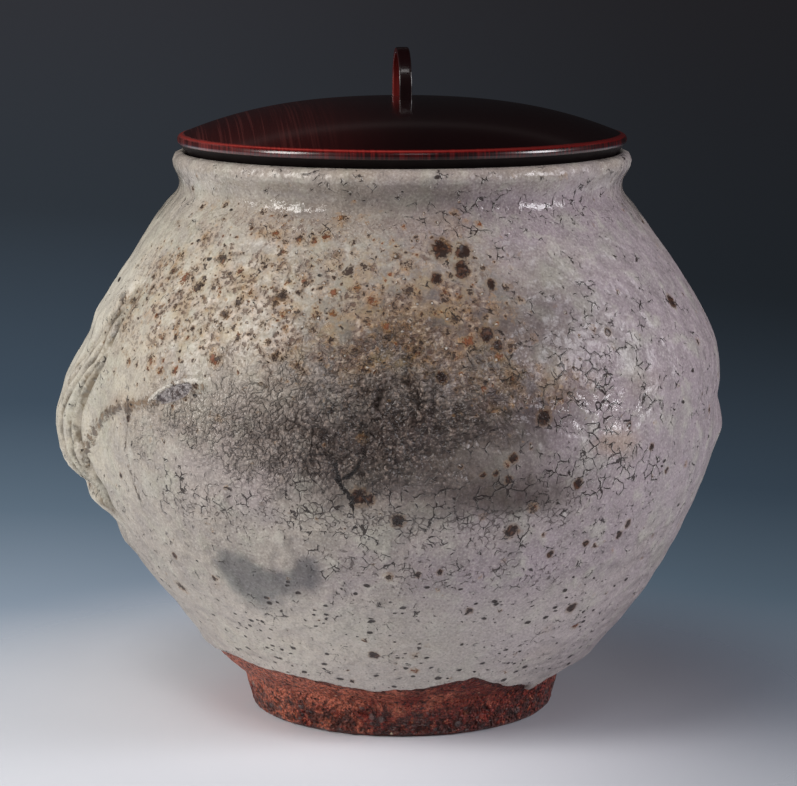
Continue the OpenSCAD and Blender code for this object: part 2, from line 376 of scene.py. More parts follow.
def glaze_relief(degrees, height, points):
    """Height of the relief over the even coat, in mm."""
    hills = 0.4 * lattice_noise(points, 48, 1) + 0.22 * rough_noise(points, 15, 2)
    rings = 0.10 * np.sin(height / 1.6 + 1.5 * lattice_noise(points, 60, 3)) * ease(90, 60, height)
    crust = crust_share(degrees, height, points)
    lumps = crust * (0.8 * rough_noise(points, 9, 11) + 0.7 * np.abs(rough_noise(points, 5, 17)))
    keel = 0.8 * np.exp(-((height - 87) / 3.5)**2) * ease(60, 25, np.abs(degrees))
    return hills + rings + lumps + keel + strokes(degrees, height) + flank_folds(degrees, height, points)


# %% Build the glazed wall
LIP_END = clay_line[0][-1]
THINNEST, SUNK = 0.35, 0.3
ROLL_W, WALL_START = 1.7, 2.4
turn = round_turn(COLUMNS)
angle = DENSEST + turn - SQUEEZE * np.sin(turn)
edge = np.interp(glaze_edge(angle), clay_line[1][:60, 1], clay_line[0][:60])
near = np.array([0, 0.12, 0.35, 0.7, 1.15, ROLL_W])[:, None]
far = np.linspace(0, 1, ROWS - len(near))[:, None]
from_edge = np.vstack([near + 0 * edge, WALL_START + far * (LIP_END - edge - WALL_START)])
point, normal = along(clay_line, edge + from_edge)
roll = np.sqrt(1 - (1 - np.clip(from_edge / ROLL_W, 0, 1))**2)
coat = GLAZE_T * roll + 0.5 * np.exp(-((from_edge - 2.2) / 1.6)**2)
even = raised(point, normal, GLAZE_T, angle)
degrees = (np.degrees(np.broadcast_to(angle, from_edge.shape)) + 180) % 360 - 180
height = even[..., 2]
calm = ease(0, 8, from_edge) * ease(0, 14, LIP_END - edge - from_edge)
relief = np.maximum(calm * glaze_relief(degrees, height, even), THINNEST - GLAZE_T)
offset = coat + relief * roll - SUNK * (from_edge == 0) + hand_set(degrees, height)
front_rows = raised(point, normal, offset, angle)
share = 1 - np.linspace(0, 0.998, BACK_ROWS)[:, None]**1.7
point, normal = along(clay_line, edge + share * (LIP_END - edge))
back_rows = raised(point, normal, hand_set(degrees[:1], point[..., 1]) - SUNK, angle)
glaze = grid_piece("glazed_wall", np.vstack([front_rows, back_rows]), loop=True)

# %% [markdown]
# ## Marks of the fire
# Rust, soot and iron don't follow a repeating pattern, so tiling one texture round the jar would look false.
# Each is a soft map over the wall instead, kept as a number on every point. The soot map also holds painted
# shade on the front of the neck and shoulder, and the map of the pits on the lower body also paints it
# paler, as light from the floor would. The material reads these maps and breaks them up with fine noise, so
# their edges stay crisp.

# %% Maps for the glaze
IRON_SPOTS = [
    (8.4, 164.3, 2.9), (13.1, 163.6, 2.4), (12.3, 158.5, 2.4), (6.9, 156.1, 1.7), (17.7, 153.9, 1.6),
    (15.2, 139.8, 2.2), (17.0, 136.6, 1.6), (40.1, 137.7, 1.3), (63.7, 143.0, 2.0), (-0.7, 83.8, 2.2),
    (19.3, 78.8, 2.1), (-7.2, 91.2, 2.6), (-5.6, 90.6, 1.8), (2.9, 65.2, 1.0), (6.8, 65.8, 1.1),
    (18.6, 102.5, 1.5), (13.4, 97.7, 1.0), (15.6, 98.1, 1.0), (17.9, 95.8, 1.3), (9.6, 100.7, 0.8),
    (13.6, 51.1, 1.2), (38.2, 48.0, 1.8), (-7.0, 34.5, 1.3), (-6.2, 34.3, 1.2), (6.6, 127.8, 1.8),
    (24.2, 114.5, 2.4), (42, 109, 1.2), (47.7, 100.7, 1.2), (53, 91.7, 1.1), (45, 76, 1.4),
    (43.5, 72.5, 1.3), (31, 92.6, 1.6), (28, 69.4, 1.2), (35.4, 71.7, 1.2), (-49, 64, 1.1),
    (120, 140, 2.4), (127, 150, 1.8), (168, 120, 2.6), (-140, 146, 2.2), (-150, 82, 2.0),
    (102, 70, 1.6), (-37.6, 122.2, 1.0), (-54.9, 108, 1.1), (-59.5, 88, 1.0),
]
BLOTS = {
    "rust": [(1.0, (-28, 151), (30, 17)), (0.9, (-3, 140), (20, 12)), (0.55, (-55, 146), (24, 20)),
             (0.7, (22, 124), (15, 10)), (0.5, (10, 154), (18, 14)), (0.6, (170, 148), (60, 16)),
             (0.4, (-62, 110), (9, 7)), (0.3, (-24, 172), (44, 9))],
    # Soot, and painted shade on the front of the neck, under the lid, and on the front of the shoulder.
    "soot_and_shade": [(0.68, (1, 107), (29, 22)), (0.36, (1, 112), (12, 13)), (0.6, (20, 90), (14, 7.5)),
              (0.25, (-10, 97), (9, 9)), (0.45, (22, 118), (10, 12)), (-0.15, (13, 104), (5, 4)),
              (0.42, (25, 144), (16, 15)), (0.72, (0, 143), (20, 13)), (-0.4, (41, 106), (9, 12)),
              (0.52, (4, 177), (38, 10)), (0.2, (-40, 178), (25, 8)), (0.2, (-50, 86), (5, 6)),
              (0.2, (-18, 158), (14, 9)), (0.22, (9, 161), (14, 9)), (-0.15, (-45, 104), (10, 12)),
              (0.7, (-165, 96), (18, 13))],
    "smudge": [(0.95, (-33.5, 64.5), (5.2, 8)), (0.9, (-25, 60.5), (9, 5.5)), (1.0, (-17.5, 66), (3.0, 5.5)),
               (0.6, (-29.5, 52), (8, 9))],
    "hue": [(1, (-82, 120), (38, 60)), (0.6, (-34, 152), (30, 22)), (0.6, (-26, 36), (34, 14)),
            (-0.9, (62, 115), (42, 60)), (-0.7, (36, 173), (26, 9)), (-0.4, (22, 60), (22, 22)),
            (-0.9, (56, 38), (26, 16)), (0.4, (-150, 120), (40, 60)), (-0.3, (-32, 96), (20, 17))],
    "stain": [(0.8, (38, 104), (8, 5)), (0.7, (15, 140), (5, 4)), (0.5, (46, 122), (8, 7)),
              (0.5, (34, 30), (20, 8)), (0.7, (-57, 112), (6, 5)), (0.5, (-28, 38), (10, 6)),
              (0.4, (-3, 141), (16, 9)), (0.6, (140, 60), (14, 12)), (0.5, (0, 187), (80, 3))],
    "cracks": [(0.8, (4, 91), (32, 9)), (0.5, (4, 72), (36, 11)), (0.85, (33, 113), (15, 10)),
               (0.8, (38, 92), (15, 9)), (0.6, (34, 136), (24, 16)), (0.55, (20, 176), (44, 10)),
               (0.5, (160, 130), (50, 40)), (0.7, (-38, 88), (16, 10))],
    "craze": [(1.1, (0, 83), (32, 5)), (0.7, (8, 66), (32, 13)), (0.6, (24, 95), (26, 14)),
              (0.3, (26, 173), (34, 8)), (0.4, (-38, 84), (14, 7)), (0.5, (160, 110), (50, 40))],
    "gloss": [(1.2, (36, 115), (13, 8)), (1.2, (40, 95), (12, 7)), (0.7, (-33, 113), (12, 9)),
              (0.5, (-40, 119), (8, 4)), (0.4, (15, 98), (14, 8))],
}


def put_map(piece, name, values):
    """Stores one number per point on a piece, padded with zeros for the rows that stay hidden."""
    data = np.zeros(len(piece.data.vertices), np.float32)
    data[:values.size] = values.ravel()
    piece.data.attributes.new(name, "FLOAT", "POINT").data.foreach_set("value", data)


def iron_share(degrees, height):
    """Above 0 inside an iron spot, 1 at its centre, and below 0 outside it."""
    wall = wall_line(GLAZE_T)
    share = np.full(degrees.shape, -3.0)
    for a, z, size in IRON_SPOTS:
        across = np.radians((degrees - a + 180) % 360 - 180) * np.interp(z, wall[:, 1], wall[:, 0])
        share = np.maximum(share, 1 - np.hypot(across, height - z) / size)
    return share


def deposit_share(degrees, height):
    """Brown deposit: above the hem and along the trail."""
    trail = beside(degrees, height, TRAIL)
    hem = hem_share(degrees) * np.exp(-((over_hem(degrees, height) - 0.8) / 2.5)**2)
    return 0.66 * hem + 0.45 * np.exp(-(trail / 1.5)**2)


maps = {name: blots(degrees, height, marks) for name, marks in BLOTS.items()}
maps["rust"] += 0.2 * rough_noise(even, 38, 31)
maps["soot_and_shade"] *= ease(79, 87, height + 2 * lattice_noise(even, 12, 41))
maps["gloss"] += ease(163, 170, height) * (1 - 0.5 * ease(181, 185, height))
for name, path in (("rift", RIFT), ("rift_branch", RIFT_BRANCH), ("trail", TRAIL)):
    maps[name] = beside(degrees, height, path)
for share in (fold_share, iron_share, deposit_share, blister, blister_rim):
    maps[share.__name__] = share(degrees, height)
maps["crust"] = crust_share(degrees, height, even)
maps["groove"] = pleat_groove(degrees, height, 1.7)
# The lower front, where pits cluster and where the body is painted paler as if lit from the floor.
maps["pits_and_floor_light"] = ease(66, 46, height) * (0.4 + 0.6 * ease(70, 30, np.abs(degrees)))
for name, values in maps.items():
    put_map(glaze, name, values)
print("maps on the glaze:", ", ".join(maps))

# %% [markdown]
# ## The lining
# Glaze was poured in and out again, so the inside is one even coat from the lip to the middle of the floor.
# It shows when the lid is lifted. A Solidify modifier could give it a thickness, but here the hidden side is
# a section line of its own, just inside the clay, so that the shell is closed and ends exactly at the lip.

# %% Build the lining
inner = inside_line(GLAZE_T)
lining_line = measured(np.vstack([inner, [[36, inner[-1, 1] - 0.4], [14, inner[-1, 1] - 0.6]]]))
lining_s = np.linspace(0, lining_line[0][-1], 110)[:, None]
point, normal = along(lining_line, lining_s)
columns = round_turn(240)
smooth = round_axis(point[..., 0], columns, point[..., 1])
wave = 0.25 * rough_noise(smooth, 20, 51) * ease(0, 12, lining_s)
face_rows = raised(point, normal, wave, columns)
hidden = inside_line(-SUNK)[::-8]
hidden_rows = round_axis(hidden[:, :1], columns, hidden[:, 1:])
lining = grid_piece("poured_lining", np.vstack([hidden_rows, face_rows]),
                    start=np.array([0, 0, hidden[0, 1] - SUNK]), end=np.array([0, 0, inner[-1, 1] - 0.7]))

# %% [markdown]
# ## The clay
# Below the glaze the clay is bare: a trimmed foot ring with a rough, stony face. A bump map alone would
# leave its outline smooth, so the grit is in the mesh. The rest of the clay lies between the two coats, so
# its rows there are few, and the rows at the foot are many.

# %% Build the clay
FOOT_RING_W, FOOT_HOLLOW, FOOT_ROUND = 11.0, 5.0, 2.6


def foot_line():
    """The foot in section: hollow, inner edge, standing face, outer edge and the wall up to the body."""
    ring = FOOT_R - FOOT_RING_W
    turn = np.linspace(np.pi, 1.5 * np.pi, 7)[:, None]
    quarter = FOOT_ROUND * np.hstack([np.cos(turn), np.sin(turn)])
    inner_edge = np.array([ring + FOOT_ROUND, FOOT_ROUND]) + quarter
    outer_edge = np.array([FOOT_R - FOOT_ROUND, FOOT_ROUND]) + quarter[::-1] * [-1, 1]
    hollow = np.linspace([8, FOOT_HOLLOW], [ring, FOOT_HOLLOW], 9)
    side = np.linspace(hollow[-1], inner_edge[0], 6)[1:-1]
    face = np.linspace(inner_edge[-1], outer_edge[0], 12)[1:-1]
    wall = np.linspace(outer_edge[-1], [FOOT_R + FOOT_FLARE, FOOT_H], 24)[1:-1]
    return np.vstack([hollow, side, inner_edge, face, outer_edge, wall])


bare = along(clay_line, np.linspace(0, 30, 42))[0]
covered, sideways = along(clay_line, np.linspace(33, LIP_END, 40))
covered = covered - 0.6 * sideways
inside = inside_line(0)[1::10]
outside = np.vstack([foot_line(), bare, covered])
point, normal = (part[:, None] for part in measured(np.vstack([outside, inside]))[1:])
radius, level = point[..., 0], point[..., 1]
columns = round_turn(620)
smooth = round_axis(radius, columns, level)
shown = ease(31, 26, level) * ease(30, 44, radius) * ease(-0.5, 3, level)
stony = ease(11, 7.5, level + 1.2 * lattice_noise(smooth, 14, 73))
grit = 0.22 * rough_noise(smooth, 6, 61, 4) + 0.3 * np.minimum(0, lattice_noise(smooth, 2.6, 67) + 0.25)
stones = 0.75 * ease(0.25, 0.8, lattice_noise(smooth, 3.4, 71))
holes = 0.5 * ease(0.2, 0.7, lattice_noise(smooth, 2.7, 79))
lean = hand_set(np.degrees(columns), level)
lean[len(outside):] = 0
clay_rows = raised(point, normal, shown * (grit + stony * (stones - holes)) + lean, columns)
clay = grid_piece("clay_body_foot", clay_rows, start=np.array([0, 0, FOOT_HOLLOW]),
                  end=np.array([0, 0, inside[-1, 1] - 0.2]))
put_map(clay, "stony", stony)
put_map(clay, "below_edge", glaze_edge(columns) - smooth[..., 2])

# %% [markdown]
# ## The lid
# The lid is turned from one board: a dome that is flat in the middle and round at the edge, a rounded rim,
# a sloped seat and a spigot ring. As on a lathe, all of it is one closed section turned about the axis.

# %% Build the lid's board
LID_R, EDGE_ROUND, LID_RISE, BOARD_T = 75.0, 1.7, 11.7, 8.0
SEAT_SLOPE, SEAT_GAP = np.radians(50), 0.3
SPIGOT_W, SPIGOT_H, SPIGOT_GAP = 5.0, 5.0, 1.4
RIM_ROWS, TOP_ROWS = 15, 71
edge_r = LID_R - EDGE_ROUND
to_lip = EDGE_ROUND + LIP_ROUND + GLAZE_T + SEAT_GAP
LID_Z = LIP_CENTRE[1] + (to_lip - np.sin(SEAT_SLOPE) * (LIP_CENTRE[0] - edge_r)) / np.cos(SEAT_SLOPE)
LID_TOP = LID_Z + EDGE_ROUND + LID_RISE


def dome(radius):
    """Height of the dome: the rise falls off with the 2.6th power of the radius."""
    return LID_Z + EDGE_ROUND + LID_RISE * (1 - (radius / edge_r)**2.6)


def lid_line():
    """The lid in section, from under its middle out along the seat, round the rim and up over the dome."""
    spigot_r = NECK_R - WALL_T - GLAZE_T - SPIGOT_GAP
    spigot_in = spigot_r - SPIGOT_W
    step_z = LIP_CENTRE[1] - 2
    foot_z = step_z - SPIGOT_H
    under_r = np.linspace(3, spigot_in, 30)
    under = np.stack([under_r, dome(under_r) - BOARD_T], axis=1)
    rim_turn = np.linspace(SEAT_SLOPE - np.pi / 2, np.pi / 2, RIM_ROWS)[:, None]
    rim = np.array([edge_r, LID_Z]) + EDGE_ROUND * np.hstack([np.cos(rim_turn), np.sin(rim_turn)])
    step_r = rim[0, 0] - (rim[0, 1] - step_z) / np.tan(SEAT_SLOPE)
    inner_wall = np.linspace(under[-1], [spigot_in, foot_z], 9)[1:]
    foot = np.linspace([spigot_in, foot_z], [spigot_r, foot_z], 5)[1:]
    outer_wall = np.linspace([spigot_r, foot_z], [spigot_r, step_z], 5)[1:]
    step = np.linspace([spigot_r, step_z], [step_r, step_z], 5)[1:]
    seat = np.linspace([step_r, step_z], rim[0], 9)[1:-1]
    top_r = np.concatenate([[edge_r - 0.35], np.linspace(edge_r - 1.2, 3, TOP_ROWS - 1)])
    top = np.stack([top_r, dome(top_r)], axis=1)
    return np.vstack([under, inner_wall, foot, outer_wall, step, seat, rim, top])


radius, level = np.hsplit(lid_line(), 2)
columns = round_turn(480)
lid_rows = round_axis(radius, columns, level)
board = grid_piece("lacquered_lid", lid_rows, start=np.array([0, 0, dome(0) - BOARD_T]),
                   end=np.array([0, 0, LID_TOP]))
bead = (level - LID_Z) / EDGE_ROUND
band = ease(edge_r - 1.3, edge_r + 0.2, radius) * ease(-1.0, -0.5, bead)
rubbed = band * (0.36 + 0.72 * np.exp(-((bead - 0.94) / 0.17)**2))
put_map(board, "rubbed", np.broadcast_to(rubbed, lid_rows.shape[:2]))
# The seat and the underside take the second, darker finish, a painted shade.
seat_rows = len(lid_rows) - TOP_ROWS - RIM_ROWS
below = np.zeros(len(board.data.polygons), np.int32)
below[:seat_rows * len(columns)] = 1
below[-2 * len(columns):-len(columns)] = 1
board.data.polygons.foreach_set("material_index", below)
print("lid from", round(level.min(), 1), "to", round(LID_TOP, 1), "mm")

# %% [markdown]
# ## The handle
# A thin strip was steamed, bent into an arch and let into two mortises. A curve with a bevel could stand for
# it, but a rounded rectangle carried along the arch also tells its inner, left and corner points apart: the
# lacquer is rubbed there and shows red, and the lighter line along the corners of the left face is partly
# a painted highlight.

# %% Build the handle
HANDLE_H, HANDLE_SPAN, STRIP_W, STRIP_T = 16.8, 26.0, 4.2, 2.0
HANDLE_TURN = np.radians(5.6)


def arch_path(steps):
    """The strip's middle line: up one leg, half a circle, down the other leg; with its outward direction."""
    bend = (HANDLE_SPAN - STRIP_T) / 2
    bend_z = LID_TOP + HANDLE_H - STRIP_T / 2 - bend
    foot_z = dome(HANDLE_SPAN / 2) - BOARD_T + 0.2
    leg = np.linspace(foot_z, bend_z, 12)[:-1]
    turn = np.linspace(0, np.pi, steps)
    along_leg = np.ones(len(leg))
    out_y = np.concatenate([-along_leg, -np.cos(turn), along_leg])
    out_z = np.concatenate([0 * along_leg, np.sin(turn), 0 * along_leg])
    z = np.concatenate([leg, bend_z + bend * np.sin(turn), leg[::-1]])
    return bend * out_y, z, out_y, out_z


def strip_section(count):
    """A rounded rectangle as a superellipse: cos and sin raised to a small power, so the sides stay flat."""
    turn = np.linspace(0, 2 * np.pi, count, endpoint=False)
    rounded = lambda value: np.sign(value) * np.abs(value)**0.32
    return STRIP_W / 2 * rounded(np.cos(turn)), STRIP_T / 2 * rounded(np.sin(turn))


path_y, path_z, out_y, out_z = arch_path(56)
across, outward = strip_section(48)
strip_x = np.broadcast_to(across, (len(path_y), len(across)))
strip_y = path_y[:, None] + out_y[:, None] * outward
strip_z = path_z[:, None] + out_z[:, None] * outward
turned = np.stack([strip_x * np.cos(HANDLE_TURN) - strip_y * np.sin(HANDLE_TURN),
                   strip_x * np.sin(HANDLE_TURN) + strip_y * np.cos(HANDLE_TURN), strip_z], axis=-1)
handle = grid_piece("bent_handle", turned, start=turned[0].mean(0), end=turned[-1].mean(0))
# The left face is rubbed red; its corners are painted lighter still, partly wear and partly a painted
# highlight.
left_face = ease(0.93, 0.995, -across / (STRIP_W / 2))
inner_face = ease(0.2, 0.9, -outward / (STRIP_T / 2))
corner = np.exp(-((np.abs(outward) / (STRIP_T / 2) - 0.86) / 0.1)**2)
rubbed = np.maximum(left_face * (0.5 + 0.5 * corner), 0.8 * inner_face)
put_map(handle, "rubbed", np.broadcast_to(rubbed, strip_x.shape))

# %% [markdown]
# ## A short way to write recipes
# A finish is a tree of nodes. It could be wired by hand in the Shader Editor, but this small class adds a
# node, feeds its sockets and hands back its output, so a recipe reads like a list of steps: find where a
# mark lies, then paint it over the colour so far. Places are in millimetres: Object coordinates times 1000.

# %% Recipe helper


def tint(red, green, blue):
    """A colour as it looks on screen, 0 to 255, turned into the linear light that a shader works with."""
    screen = np.array([red, green, blue]) / 255
    light = np.where(screen <= 0.04045, screen / 12.92, ((screen + 0.055) / 1.055)**2.4)
    return (*light.tolist(), 1.0)


class Recipe:
    """The node tree of a material or a world, with one short call for each kind of node."""

    def __init__(self, owner):
        owner.use_nodes = True
        self.owner = owner
        self.tree = owner.node_tree
        self.shader = self.tree.nodes.get("Principled BSDF")
        self.coordinates = self.node("ShaderNodeTexCoord").outputs
        self.place = self.vector("MULTIPLY", self.coordinates["Object"], (1 / MM,) * 3)
        self.colour = None

    def feed(self, socket, value):
        """Links a socket to another node's output, or sets it to a constant."""
        if isinstance(value, bpy.types.NodeSocket):
            self.tree.links.new(value, socket)
        else:
            socket.default_value = value

    def node(self, kind, inputs=None, **settings):
        """Adds a node with its settings and inputs."""
        node = self.tree.nodes.new(kind)
        for key, value in settings.items():
            setattr(node, key, value)
        for key, value in (inputs or {}).items():
            self.feed(node.inputs[key], value)
        return node

    def map(self, name):
        """A map that was stored on the piece's points."""
        return self.node("ShaderNodeAttribute", attribute_name=name).outputs["Fac"]

    def axes(self, vector):
        """The X, Y and Z parts of a vector."""
        return self.node("ShaderNodeSeparateXYZ", {0: vector}).outputs

    def math(self, operation, a, b=0.0):
        """One step of arithmetic on numbers."""
        return self.node("ShaderNodeMath", {0: a, 1: b}, operation=operation).outputs[0]

    def vector(self, operation, *inputs):
        """One step of arithmetic on vectors."""
        return self.node("ShaderNodeVectorMath", dict(enumerate(inputs)), operation=operation).outputs[0]

    def chain(self, operation, first, *others):
        """The same step of arithmetic on two or more numbers, from left to right."""
        for other in others:
            first = self.math(operation, first, other)
        return first

    def times(self, *factors):
        """The product of the factors."""
        return self.chain("MULTIPLY", *factors)

    def most(self, *values):
        """The largest of the values."""
        return self.chain("MAXIMUM", *values)

    def total(self, *parts):
        """The sum of the parts, where a pair of a value and a weight stands for their product."""
        return self.chain("ADD", *(self.times(*part) if isinstance(part, tuple) else part for part in parts))

    def step(self, value, low, high):
        """A smooth step from 0 at low to 1 at high; high may be below low."""
        sockets = {"Value": value, "From Min": low, "From Max": high}
        return self.node("ShaderNodeMapRange", sockets, interpolation_type="SMOOTHSTEP").outputs[0]

    def where(self, low, high, *parts):
        """A smooth step from 0 at low to 1 at high of the sum of the parts."""
        return self.step(self.total(*parts), low, high)

    def mix(self, share, under, over, blend="MIX"):
        """One colour laid over another by a share from 0 to 1."""
        sockets = {0: share, 6: under, 7: over}
        return self.node("ShaderNodeMix", sockets, data_type="RGBA", blend_type=blend).outputs[2]

    def paint(self, shade, *shares):
        """Lays a shade over the colour so far, by the product of the shares."""
        self.colour = self.mix(self.times(*shares), self.colour, shade)

    def darken(self, shade, *shares):
        """Multiplies the colour so far by a shade, by the product of the shares, as soot would; it also lays
        painted shade.
        """
        self.colour = self.mix(self.times(*shares), self.colour, shade, "MULTIPLY")

    def noise(self, size, detail=3.0, rough=0.5, at=None):
        """Noise from 0 to 1 whose lumps have a size in mm."""
        sockets = {"Vector": at or self.place, "Scale": 1 / size, "Detail": detail, "Roughness": rough}
        return self.node("ShaderNodeTexNoise", sockets).outputs["Fac"]

    def bent(self, size, amount):
        """The place, pushed about by noise of a size, so that what is drawn there is crooked."""
        wobble = self.node("ShaderNodeTexNoise", {"Vector": self.place, "Scale": 1 / size, "Detail": 2.0})
        centred = self.vector("SUBTRACT", wobble.outputs["Color"], (0.5, 0.5, 0.5))
        return self.vector("MULTIPLY_ADD", centred, (amount,) * 3, self.place)

    def grain(self, turn, x, y, z):
        """The place turned about Z, then divided by a length along each axis, for marks that run one way."""
        turned = self.node("ShaderNodeVectorRotate", {"Vector": self.place, "Angle": turn}).outputs[0]
        return self.vector("DIVIDE", turned, (x, y, z))

    def seams(self, size, at):
        """Distance from the seams between cells, where 1 is the size of a cell."""
        sockets = {"Vector": at, "Scale": 1 / size}
        return self.node("ShaderNodeTexVoronoi", sockets, feature="DISTANCE_TO_EDGE").outputs["Distance"]

    def pebbles(self, size, at):
        """Distance from the middle of the nearest grain, where 1 is the size of a grain's cell."""
        return self.node("ShaderNodeTexVoronoi", {"Vector": at, "Scale": 1 / size}).outputs["Distance"]

    def dots(self, size, radius, share, at=None):
        """Scattered dots: 1 in the middle of a dot, 0 at its rim and less outside. Each cell of a size in mm
        has a place for one dot, used in a share of the cells; the radius varies."""
        cell = self.node("ShaderNodeTexVoronoi", {"Vector": at or self.place, "Scale": 1 / size})
        random = self.node("ShaderNodeSeparateColor", {0: cell.outputs["Color"]}).outputs
        empty = self.step(self.math("SUBTRACT", random[0], share), -0.01, 0.01)
        limit = self.total((random[1], 0.9 * radius / size), 0.5 * radius / size)
        away = self.math("DIVIDE", cell.outputs["Distance"], limit)
        return self.total((away, -1.0), (empty, -4.0), 1.0)

    def set(self, **sockets):
        """Feeds the shader's sockets, which are named here with _ for a space."""
        for name, value in sockets.items():
            self.feed(self.shader.inputs[name.replace("_", " ")], value)

    def surface(self, roughness, height_mm):
        """Feeds the shader: the colour so far, a roughness, and a relief's height in millimetres."""
        bump = self.node("ShaderNodeBump", {"Height": height_mm, "Distance": MM, "Strength": 1.0})
        self.set(Base_Color=self.colour, Roughness=roughness, Normal=bump.outputs[0])
        print(self.owner.name, "has", len(self.tree.nodes), "nodes")


# %% [markdown]
# ## The ash glaze
# Pale grey with a cream or lavender cast, clouded by soot and by painted shade on the front, peppered with
# rust and torn by short cracks. A painted image would blur close up, and noise stays crisp. The recipe
# starts from the clear coat and lays one mark over the other, as the kiln did, and adds painted shade and
# highlights to the crust, the cracks, the folds and the blister.

# %% Glaze recipe: colour of the coat
skin = Recipe(bpy.data.materials.new("ash_glaze"))
crooked = skin.bent(3.0, 2.4)
ragged_place = skin.bent(1.3, 1.0)
crust, rust, cracks, pits_and_floor_light = (skin.map(name) for name in ("crust", "rust", "cracks", "pits_and_floor_light"))
drift = skin.noise(24, 4, 0.55)
cast = skin.total(skin.map("hue"), (drift, 1.4))
skin.colour = skin.mix(skin.step(cast, 0.0, 0.85), tint(172, 158, 164), tint(170, 160, 152))
skin.paint(tint(200, 192, 176), skin.step(cast, 0.7, 1.6))
green = skin.step(skin.noise(13, 4, 0.6), 0.48, 0.66)
skin.paint(tint(168, 170, 155), green, 0.4)
mottle = skin.noise(6.5, 5, 0.6)
skin.paint(tint(136, 129, 127), skin.step(mottle, 0.54, 0.36), 0.35)
skin.paint(tint(206, 200, 191), skin.step(mottle, 0.54, 0.70), 0.4)
stained = skin.where(0.6, 1.3, skin.map("stain"), (drift, 0.8))
skin.paint(tint(180, 154, 130), stained, 0.55)
# Painted light: the lower front of the body is painted paler, as the light thrown up by the pale floor would
# make it.
skin.paint(tint(212, 203, 194), pits_and_floor_light, 0.4)
powder = skin.noise(0.75, 2, 0.6)
skin.paint(tint(104, 96, 91), skin.step(powder, 0.48, 0.32), 0.32)
skin.paint(tint(222, 216, 209), skin.step(powder, 0.52, 0.68), 0.36)

# %% Glaze recipe: where it cracked
patchy = skin.total(skin.noise(3.2, 3, 0.6), (skin.noise(9, 2), 0.6), (cracks, 0.22))
broken = skin.step(patchy, 0.86, 1.12)
wide = skin.seams(4.0, crooked)
tear = skin.where(0.0, -0.03, wide, (broken, -0.06))
# Painted highlight: a pale line just below and to the right of each crack, as if its edge caught light from
# the upper left.
beyond = skin.seams(4.0, skin.vector("ADD", crooked, (-0.35, 0, 0.35)))
rim = skin.times(skin.where(0.0, -0.04, beyond, (broken, -0.06)), skin.step(tear, 0.6, 0.0))
skin.paint(tint(224, 218, 213), rim, 0.6)
fine = skin.total(skin.noise(1.8, 2), (skin.noise(11, 2), 0.7), (skin.map("craze"), 0.3))
hair = skin.where(0.0, -0.05, skin.seams(2.3, ragged_place), (skin.step(fine, 1.06, 1.2), -0.08))

# %% Glaze recipe: crust and soot, with painted shade and light
grit = skin.noise(1.5, 2, 0.55)
lumps = skin.noise(4.4, 1.5, 0.5)
crumbs = skin.noise(1.6, 2, 0.6)
patch = skin.step(skin.noise(8, 3, 0.6), 0.40, 0.56)
skin.paint(tint(156, 142, 134), crust, 0.4)
# Part of the soot map is painted shade: it darkens the front of the neck and shoulder, which the side lamps
# light less.
soot_and_shade = skin.map("soot_and_shade")
soot = skin.where(0.25, 1.25, soot_and_shade, (skin.noise(7, 5, 0.65), 0.5))
skin.darken(tint(126, 114, 111), soot, 0.96)
in_soot_and_shade = skin.total((skin.step(soot_and_shade, 0.1, 0.6), 0.92), 0.08)
# Painted shade and light in the crust: where the lumps, the grit and the gaps between grains lie low in the
# relief they are painted darker, and the tops of grains and grit paler.
skin.darken(tint(138, 126, 120), skin.step(lumps, 0.50, 0.36), crust, in_soot_and_shade, 0.9)
crust_shade_and_light = skin.times(crust, in_soot_and_shade, skin.total((patch, 0.6), 0.4))
sand = skin.pebbles(1.3, skin.bent(1.5, 0.5))
skin.paint(tint(72, 58, 52), skin.step(grit, 0.46, 0.34), crust_shade_and_light, 0.6)
skin.paint(tint(52, 41, 37), skin.step(sand, 0.5, 0.8), crust_shade_and_light, 0.9)
skin.paint(tint(196, 178, 166), skin.step(sand, 0.4, 0.12), crust_shade_and_light, 0.22)
skin.paint(tint(176, 156, 144), skin.step(grit, 0.54, 0.66), crust_shade_and_light, 0.5)
curl = skin.math("ABSOLUTE", skin.math("SUBTRACT", skin.noise(3.4, 2, 0.5, crooked), 0.5))
worm = skin.times(skin.step(curl, 0.018, 0.004), skin.step(skin.noise(5.5, 2), 0.54, 0.62), crust)
skin.paint(tint(60, 50, 47), worm, 0.7)
ridge = skin.times(skin.step(curl, 0.07, 0.0), crust)
smear = skin.where(0.65, 1.35, skin.map("smudge"), (skin.noise(5, 4, 0.65), 0.8))
skin.darken(tint(178, 182, 189), smear)

